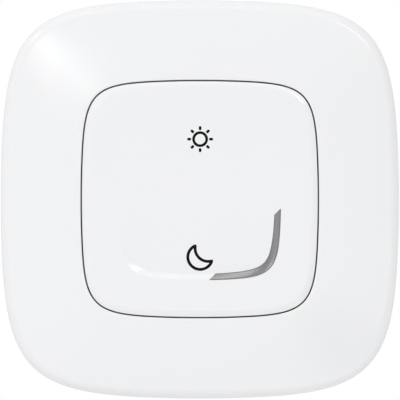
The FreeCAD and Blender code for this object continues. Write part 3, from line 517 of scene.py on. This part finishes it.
signs = {
    "lift": 0.013, "sink": 0.01,
    "sunAt": (0.07, 12.90), "sunRing": (1.12, 1.70), "ringSteps": 72,
    "rays": 8, "rayFrom": 1.93, "rayTo": 2.8, "rayWidth": 0.58, "endSteps": 7, "endWidth": 0.004,
    "moonAt": (0.08, -12.50), "moonRadius": 2.66, "moonStroke": 0.63, "moonSteps": 90,
    "biteAt": (1.80, -10.62), "biteRadius": 2.82, "biteSteps": 50,
}


# The two edges of a stroke that runs round a closed line.
def strokeLoop(points, width):
    left, right = [], []
    for i, (x, z) in enumerate(points):
        before, after = points[i - 1], points[(i + 1) % len(points)]
        dx, dz = after[0] - before[0], after[1] - before[1]
        size = math.hypot(dx, dz)
        nx, nz = -dz / size * width / 2, dx / size * width / 2
        left.append((x + nx, z + nz))
        right.append((x - nx, z - nz))
    return left, right


# Thin print between two edges, lying on the dish.
def addInk(vertices, faces, left, right, closed):
    first = len(vertices)
    count = len(left)
    for x, z in left + right:
        drop = dishDepth(z, 0.0)
        vertices.append(place(x, drop + signs["lift"], z))
        vertices.append(place(x, drop - signs["sink"], z))
    for i in range(count if closed else count - 1):
        k = (i + 1) % count
        a, b = first + 2 * i, first + 2 * k
        c, d = first + 2 * (count + i), first + 2 * (count + k)
        faces.append((a, b, d, c))
        faces.append((a, a + 1, b + 1, b))
        faces.append((c, d, d + 1, c + 1))
        faces.append((a + 1, c + 1, d + 1, b + 1))
    if not closed:
        for i in (0, count - 1):
            a, c = first + 2 * i, first + 2 * (count + i)
            faces.append((a, c, c + 1, a + 1))


# A straight stroke with round ends.
def capsule(start, finish, width):
    dx, dz = finish[0] - start[0], finish[1] - start[1]
    size = math.hypot(dx, dz)
    ux, uz = dx / size, dz / size
    half = width / 2
    left, right = [], []
    spots = [(half * (1 - math.cos(turn)), half * math.sin(turn))
             for turn in quarterAngles(signs["endSteps"])]
    spots += [(size + 2 * half - a, w) for a, w in reversed(spots)]
    for along, wide in spots:
        wide = max(wide, signs["endWidth"])
        x, z = start[0] + ux * (along - half), start[1] + uz * (along - half)
        left.append((x - uz * wide, z + ux * wide))
        right.append((x + uz * wide, z - ux * wide))
    return left, right


def around(centre, radius, angle):
    return centre[0] + radius * math.cos(angle), centre[1] + radius * math.sin(angle)


sunVertices, sunFaces = [], []
sunRings = [[around(signs["sunAt"], radius, t) for t in roundAngles(signs["ringSteps"])]
            for radius in reversed(signs["sunRing"])]
addInk(sunVertices, sunFaces, *sunRings, True)
inset = signs["rayWidth"] / 2
for t in roundAngles(signs["rays"]):
    start = around(signs["sunAt"], signs["rayFrom"] + inset, t)
    finish = around(signs["sunAt"], signs["rayTo"] - inset, t)
    addInk(sunVertices, sunFaces, *capsule(start, finish, signs["rayWidth"]), False)
sunSign = meshPiece("sunSign", sunVertices, sunFaces)
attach(sunSign, "key")

# The moon is what a second circle leaves of the first one when it bites into it.
(moonX, moonZ), (biteX, biteZ) = signs["moonAt"], signs["biteAt"]
apart = math.hypot(biteX - moonX, biteZ - moonZ)
toBite = math.atan2(biteZ - moonZ, biteX - moonX)


# Half the angle that the other circle cuts out of this one.
def cutAngle(radius, otherRadius):
    return math.acos((apart ** 2 + radius ** 2 - otherRadius ** 2) / (2 * apart * radius))


moonSpread = cutAngle(signs["moonRadius"], signs["biteRadius"])
biteSpread = cutAngle(signs["biteRadius"], signs["moonRadius"])
moonLine = []
for i in range(signs["moonSteps"]):
    t = toBite + moonSpread + (fullTurn - 2 * moonSpread) * i / signs["moonSteps"]
    moonLine.append(around(signs["moonAt"], signs["moonRadius"], t))
for i in range(signs["biteSteps"]):
    t = toBite + math.pi + biteSpread - 2 * biteSpread * i / signs["biteSteps"]
    moonLine.append(around(signs["biteAt"], signs["biteRadius"], t))
moonVertices, moonFaces = [], []
addInk(moonVertices, moonFaces, *strokeLoop(moonLine, signs["moonStroke"]), True)
moonSign = meshPiece("moonSign", moonVertices, moonFaces)
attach(moonSign, "key")
print("signs made")


def newGroup(name, inputs, outputs):
    group = bpy.data.node_groups.new(name, "ShaderNodeTree")
    for label, value in inputs:
        socket = group.interface.new_socket(label, in_out="INPUT", socket_type="NodeSocketFloat")
        socket.default_value = value
    for label in outputs:
        group.interface.new_socket(label, in_out="OUTPUT", socket_type="NodeSocketFloat")
    return group, group.nodes.new("NodeGroupInput"), group.nodes.new("NodeGroupOutput")


def noiseNode(tree, coordinates, scale, detail, roughness=0.5):
    noise = tree.nodes.new("ShaderNodeTexNoise")
    noise.inputs["Detail"].default_value = detail
    noise.inputs["Roughness"].default_value = roughness
    tree.links.new(coordinates, noise.inputs["Vector"])
    if isinstance(scale, float):
        noise.inputs["Scale"].default_value = scale
    else:
        tree.links.new(scale, noise.inputs["Scale"])
    return noise.outputs["Fac"]


def mathNode(tree, operation, a, b):
    node = tree.nodes.new("ShaderNodeMath")
    node.operation = operation
    for socket, value in zip(node.inputs, (a, b)):
        if isinstance(value, (int, float)):
            socket.default_value = value
        else:
            tree.links.new(value, socket)
    return node.outputs[0]


noiseSpan = (0.3, 0.7)  # nearly all values of a noise lie between these two


# Spreads a noise over the range from low to high.
def rangeNode(tree, value, low, high):
    node = tree.nodes.new("ShaderNodeMapRange")
    node.inputs["From Min"].default_value, node.inputs["From Max"].default_value = noiseSpan
    tree.links.new(value, node.inputs["Value"])
    for label, level in (("To Min", low), ("To Max", high)):
        if isinstance(level, (int, float)):
            node.inputs[label].default_value = level
        else:
            tree.links.new(level, node.inputs[label])
    return node.outputs["Result"]


def mixNode(tree, share, a, b):
    node = tree.nodes.new("ShaderNodeMix")
    node.data_type = "RGBA"
    tree.links.new(share, node.inputs[0])
    for socket, value in zip((node.inputs[6], node.inputs[7]), (a, b)):
        if isinstance(value, tuple):
            socket.default_value = (*value, 1)
        else:
            tree.links.new(value, socket)
    return node.outputs[2]


def makeFineGrain(finerBy=3.7, detail=2.0):
    group, given, out = newGroup("fineGrain", [("Scale", 2500.0), ("Fine", 0.5)], ["Height"])
    where = group.nodes.new("ShaderNodeTexCoord").outputs["Object"]
    coarse = noiseNode(group, where, given.outputs["Scale"], detail)
    finer = noiseNode(group, where, mathNode(group, "MULTIPLY", given.outputs["Scale"], finerBy), detail)
    mixed = mathNode(group, "MULTIPLY", finer, given.outputs["Fine"])
    group.links.new(mathNode(group, "ADD", coarse, mixed), out.inputs["Height"])
    return group


def makeMottle():
    group, given, out = newGroup("mottle", [("Scale", 60.0), ("Low", 0.2), ("High", 0.3)], ["Value", "Mask"])
    where = group.nodes.new("ShaderNodeTexCoord").outputs["Object"]
    clouds = noiseNode(group, where, given.outputs["Scale"], detail=5.0, roughness=0.6)
    spread = rangeNode(group, clouds, given.outputs["Low"], given.outputs["High"])
    group.links.new(spread, out.inputs["Value"])
    group.links.new(rangeNode(group, clouds, 0.0, 1.0), out.inputs["Mask"])
    return group


# Outer edges, found from the mesh's own curvature and broken up by noise, are rubbed by hands and cloths.
def makeEdgeRub(patchScale=350.0, leastRub=0.3):
    group, given, out = newGroup("edgeRub", [("Start", 0.52), ("Full", 0.60), ("Strength", 0.5)], ["Mask"])
    sharpness = group.nodes.new("ShaderNodeNewGeometry").outputs["Pointiness"]
    edge = group.nodes.new("ShaderNodeMapRange")
    group.links.new(sharpness, edge.inputs["Value"])
    group.links.new(given.outputs["Start"], edge.inputs["From Min"])
    group.links.new(given.outputs["Full"], edge.inputs["From Max"])
    where = group.nodes.new("ShaderNodeTexCoord").outputs["Object"]
    patches = noiseNode(group, where, patchScale, detail=4.0, roughness=0.6)
    patchy = rangeNode(group, patches, leastRub, 1.0)
    rubbed = mathNode(group, "MULTIPLY", edge.outputs["Result"], patchy)
    group.links.new(mathNode(group, "MULTIPLY", rubbed, given.outputs["Strength"]), out.inputs["Mask"])
    return group


effects = {"fineGrain": makeFineGrain(), "mottle": makeMottle(), "edgeRub": makeEdgeRub()}
wear = {"paleLevel": 0.85, "paleShare": 0.12, "rougher": 0.12}


def useEffect(material, name, **values):
    node = material.node_tree.nodes.new("ShaderNodeGroup")
    node.node_tree = effects[name]
    for label, value in values.items():
        node.inputs[label].default_value = value
    return node


# A finish has two near colours that mottle into each other, a spread of roughness, a fine grain
# and rubbed edges.
def makeFinish(name, colours, roughness, grain, grainDepth, mottleScale=60.0, rub=0.4, **constants):
    material = bpy.data.materials.new(name)
    material.use_nodes = True
    tree = material.node_tree
    shader = tree.nodes["Principled BSDF"]
    patches = useEffect(material, "mottle", Scale=mottleScale, Low=roughness[0], High=roughness[1])
    edges = useEffect(material, "edgeRub", Strength=rub)
    rubbedColour = tuple(c + (wear["paleLevel"] - c) * wear["paleShare"] for c in colours[1])
    colour = mixNode(tree, patches.outputs["Mask"], colours[0], colours[1])
    colour = mixNode(tree, edges.outputs["Mask"], colour, rubbedColour)
    tree.links.new(colour, shader.inputs["Base Color"])
    worn = mathNode(tree, "MULTIPLY", edges.outputs["Mask"], wear["rougher"])
    tree.links.new(mathNode(tree, "ADD", patches.outputs["Value"], worn), shader.inputs["Roughness"])
    bump = tree.nodes.new("ShaderNodeBump")
    bump.inputs["Strength"].default_value = 1.0
    bump.inputs["Distance"].default_value = grainDepth * mm
    texture = useEffect(material, "fineGrain", Scale=grain)
    tree.links.new(texture.outputs["Height"], bump.inputs["Height"])
    tree.links.new(bump.outputs["Normal"], shader.inputs["Normal"])
    for label, value in constants.items():
        shader.inputs[label.replace("_", " ")].default_value = value
    return material


finishes = {
    "white_shell": makeFinish("glossyWhiteShell", ((0.847, 0.846, 0.851), (0.851, 0.850, 0.854)),
                              (0.13, 0.15), grain=700.0, grainDepth=0.0006, IOR=1.5),
    "white_key": makeFinish("glossyWhiteKey", ((0.845, 0.844, 0.849), (0.849, 0.848, 0.852)),
                            (0.14, 0.16), grain=800.0, grainDepth=0.0006, IOR=1.5),
    "grey_frame": makeFinish("greyFramePlastic", ((0.40, 0.41, 0.42), (0.44, 0.45, 0.46)), (0.42, 0.55),
                             grain=1800.0, grainDepth=0.02),
    "foam_pad": makeFinish("closedCellFoam", ((0.80, 0.80, 0.78), (0.88, 0.88, 0.86)), (0.85, 0.95),
                           grain=2600.0, grainDepth=0.12, mottleScale=300.0),
    "housing_plastic": makeFinish("darkHousingPlastic", ((0.055, 0.056, 0.060), (0.070, 0.071, 0.075)),
                                  (0.38, 0.52), grain=2200.0, grainDepth=0.03),
    "screw_steel": makeFinish("zincScrew", ((0.55, 0.56, 0.58), (0.66, 0.67, 0.69)), (0.25, 0.42),
                              grain=3500.0, grainDepth=0.01, mottleScale=400.0, Metallic=1.0),
    "board_laminate": makeFinish("greenBoardMask", ((0.010, 0.085, 0.040), (0.014, 0.110, 0.052)),
                                 (0.25, 0.38), grain=1500.0, grainDepth=0.01, mottleScale=200.0),
    "cell_steel": makeFinish("cellCanSteel", ((0.60, 0.60, 0.60), (0.68, 0.68, 0.67)), (0.20, 0.32),
                             grain=3000.0, grainDepth=0.006, mottleScale=150.0, Metallic=1.0),
    "contact_metal": makeFinish("springContact", ((0.72, 0.66, 0.50), (0.78, 0.72, 0.56)), (0.20, 0.30),
                                grain=3000.0, grainDepth=0.006, mottleScale=300.0, Metallic=1.0),
    "shield_metal": makeFinish("tinnedShield", ((0.62, 0.63, 0.64), (0.70, 0.71, 0.72)), (0.28, 0.40),
                               grain=2500.0, grainDepth=0.01, mottleScale=300.0, Metallic=1.0),
    "ceramic": makeFinish("tanCeramic", ((0.42, 0.30, 0.20), (0.48, 0.35, 0.24)), (0.40, 0.55),
                          grain=4000.0, grainDepth=0.01, mottleScale=600.0),
    "black_resin": makeFinish("blackResin", ((0.014, 0.014, 0.015), (0.022, 0.022, 0.023)), (0.45, 0.60),
                              grain=5000.0, grainDepth=0.02, mottleScale=500.0),
    "lamp_resin": makeFinish("clearLampResin", ((0.70, 0.72, 0.70), (0.78, 0.80, 0.76)), (0.12, 0.22),
                             grain=2000.0, grainDepth=0.005, mottleScale=500.0),
    "dome_rubber": makeFinish("domeRubber", ((0.62, 0.63, 0.65), (0.70, 0.71, 0.73)), (0.55, 0.70),
                              grain=3000.0, grainDepth=0.02, mottleScale=400.0),
    "light_guide": makeFinish("greyLightGuide", ((0.086, 0.085, 0.089), (0.094, 0.093, 0.097)), (0.17, 0.22),
                              grain=2200.0, grainDepth=0.003, mottleScale=250.0, IOR=2.2, Coat_Weight=1.0,
                              Coat_Roughness=0.16),
    "ink": makeFinish("blackSignInk", ((0.004, 0.004, 0.005), (0.007, 0.007, 0.008)), (0.45, 0.60),
                      grain=6000.0, grainDepth=0.002, mottleScale=900.0, rub=0.0, Specular_IOR_Level=0.08),
}


def dress(piece, finish):
    piece.data.materials.clear()
    piece.data.materials.append(finishes[finish])


for entry in frame["record"]["subparts"]:
    dress(frame["nodes"][entry["node"]], entry["material_slot"])
for piece, finish in ((coverPlate, "white_shell"), (coverClips, "white_shell"), (keyCap, "white_key"),
                      (keyTabs, "white_key"), (lightBar, "light_guide"), (sunSign, "ink"), (moonSign, "ink")):
    dress(piece, finish)
for name in domes:
    dress(bpy.data.objects[name], "dome_rubber")
for name, (node, slot, width) in moulded.items():
    dress(bpy.data.objects[name], slot)
print("materials set:", len(finishes))


studio = {  # lengths in metres, but for the shift in millimetres; the elevation in degrees
    "ambient": 0.841, "ambientTint": (0.985, 0.992, 1.0),
    "floorLevel": -0.16, "floorSize": 3.0, "floorFront": -0.35,
    "floorColour": (0.9, 0.9, 0.9), "floorRoughness": 0.9, "floorGlow": 0.4,
    "cameraReach": 2.0, "cameraElevation": -0.9, "sensor": 36.0, "clip": (0.01, 20.0),
    "viewWidth": 0.086384, "viewPlane": 0.006, "centreShift": (0.041, -0.135),
}

world = bpy.data.worlds.new("studio")
bpy.context.scene.world = world
world.use_nodes = True
tree = world.node_tree
tree.nodes.clear()
out = tree.nodes.new("ShaderNodeOutputWorld")
path = tree.nodes.new("ShaderNodeLightPath")
mix = tree.nodes.new("ShaderNodeMixShader")
ambient = tree.nodes.new("ShaderNodeBackground")
white = tree.nodes.new("ShaderNodeBackground")
ambient.inputs["Color"].default_value = (*studio["ambientTint"], 1)
white.inputs["Color"].default_value = (1, 1, 1, 1)
white.inputs["Strength"].default_value = 1.0

# The studio is evenly pale, but for a dark corner low on the right.
corner = {
    "along": (0.707, 0, -0.707), "across": (0.707, 0, 0.707), "narrowing": 1.1,
    "from": 0.07, "to": 0.155, "level": 0.0,
}
direction = tree.nodes.new("ShaderNodeTexCoord").outputs["Generated"]
leaning = []
for axis in ("along", "across"):
    dot = tree.nodes.new("ShaderNodeVectorMath")
    dot.operation = "DOT_PRODUCT"
    dot.inputs[1].default_value = corner[axis]
    tree.links.new(direction, dot.inputs[0])
    leaning.append(dot.outputs["Value"])
aside = mathNode(tree, "MULTIPLY", mathNode(tree, "ABSOLUTE", leaning[1], 0.0), corner["narrowing"])
inCorner = tree.nodes.new("ShaderNodeMapRange")
inCorner.interpolation_type = "SMOOTHSTEP"
tree.links.new(mathNode(tree, "SUBTRACT", leaning[0], aside), inCorner.inputs["Value"])
for label, value in (("From Min", corner["from"]), ("From Max", corner["to"]),
                     ("To Min", studio["ambient"]), ("To Max", studio["ambient"] * corner["level"])):
    inCorner.inputs[label].default_value = value
tree.links.new(inCorner.outputs["Result"], ambient.inputs["Strength"])
tree.links.new(path.outputs["Is Camera Ray"], mix.inputs[0])
tree.links.new(ambient.outputs[0], mix.inputs[1])
tree.links.new(white.outputs[0], mix.inputs[2])
tree.links.new(mix.outputs[0], out.inputs["Surface"])


# A rectangular lamp aimed at the switch. A radiance of 1 is that of a white sheet in even white light.
def softBox(name, at, size, radiance, turn):
    light = bpy.data.lights.new(name, "AREA")
    light.shape = "RECTANGLE"
    light.size, light.size_y = size
    light.energy = math.pi * size[0] * size[1] * radiance
    box = bpy.data.objects.new(name, light)
    box.location = at
    box.rotation_mode = "QUATERNION"
    aim = (-Vector(at)).to_track_quat("-Z", "Y")
    box.rotation_quaternion = aim @ Quaternion((0, 0, 1), math.radians(turn))
    box.visible_camera = False
    bpy.context.scene.collection.objects.link(box)


# Each lamp's place and size in metres, its radiance, and its turn in degrees about the line to the switch.
lamps = {
    "facePanel": ((-0.10, -1.5, 0.10), (1.5, 1.0), 0.25, 45),
    "cornerLong": ((-0.31, -1.6, 0.33), (0.16, 0.44), 1.9, 45),
    "cornerWide": ((-0.31, -1.6, 0.33), (0.44, 0.16), 1.1, 45),
    "cornerOuter": ((-0.43, -1.6, 0.41), (0.30, 0.20), 1.6, 45),
    "bevelSoftBox": ((-1.20, -0.95, 1.20), (0.35, 0.80), 2.9, 45),
    "leftSoftBox": ((-1.70, -0.30, 0.20), (0.40, 1.1), 0.25, 0),
    "topSoftBox": ((-0.10, -0.30, 1.70), (1.2, 0.45), 0.35, 0),
    "barSoftBox": ((-0.02, -1.22, 1.20), (0.95, 0.42), 1.45, 0),
    "bendSoftBox": ((-0.62, -1.22, 1.02), (0.45, 0.42), 1.0, 31),
    "rampSoftBox": ((0.58, -1.5, 0.72), (0.50, 0.28), 5.0, -40),
}
for name, (at, size, radiance, turn) in lamps.items():
    softBox(name, at, size, radiance, turn)

floorMesh = bpy.data.meshes.new("studioFloor")
reach, level, front = studio["floorSize"], studio["floorLevel"], studio["floorFront"]
floorCorners = [(-reach, front, level), (reach, front, level), (reach, reach, level), (-reach, reach, level)]
floorMesh.from_pydata(floorCorners, [], [(0, 1, 2, 3)])
studioFloor = bpy.data.objects.new("studioFloor", floorMesh)
bpy.context.scene.collection.objects.link(studioFloor)
floorFinish = bpy.data.materials.new("paleFloor")
floorFinish.use_nodes = True
tree = floorFinish.node_tree
shader = tree.nodes["Principled BSDF"]
shader.inputs["Base Color"].default_value = (*studio["floorColour"], 1)
shader.inputs["Roughness"].default_value = studio["floorRoughness"]
shader.inputs["Emission Color"].default_value = (1, 1, 1, 1)
seen = tree.nodes.new("ShaderNodeLightPath").outputs["Is Camera Ray"]
backFacing = tree.nodes.new("ShaderNodeNewGeometry").outputs["Backfacing"]
tree.links.new(mathNode(tree, "MULTIPLY", seen, studio["floorGlow"]), shader.inputs["Emission Strength"])
underside = mathNode(tree, "MULTIPLY", backFacing, seen)
seeThrough = tree.nodes.new("ShaderNodeMixShader")  # from below the floor doesn't hide the switch
tree.links.new(underside, seeThrough.inputs[0])
tree.links.new(shader.outputs[0], seeThrough.inputs[1])
tree.links.new(tree.nodes.new("ShaderNodeBsdfTransparent").outputs[0], seeThrough.inputs[2])
tree.links.new(seeThrough.outputs[0], tree.nodes["Material Output"].inputs["Surface"])
floorMesh.materials.append(floorFinish)

camera = bpy.data.objects.new("camera", bpy.data.cameras.new("camera"))
bpy.context.scene.collection.objects.link(camera)
camera.data.sensor_width = studio["sensor"]
camera.data.lens = studio["sensor"] * studio["cameraReach"] / studio["viewWidth"]
camera.data.clip_start, camera.data.clip_end = studio["clip"]
rise = math.radians(studio["cameraElevation"])
shiftX, shiftZ = studio["centreShift"]
centre = Vector((shiftX * mm, -studio["viewPlane"], shiftZ * mm))
camera.location = centre + Vector((0, -math.cos(rise), math.sin(rise))) * studio["cameraReach"]
camera.rotation_euler = (math.pi / 2 - rise, 0, 0)
bpy.context.scene.camera = camera
bpy.context.scene.view_settings.view_transform = "Standard"
print("studio set")
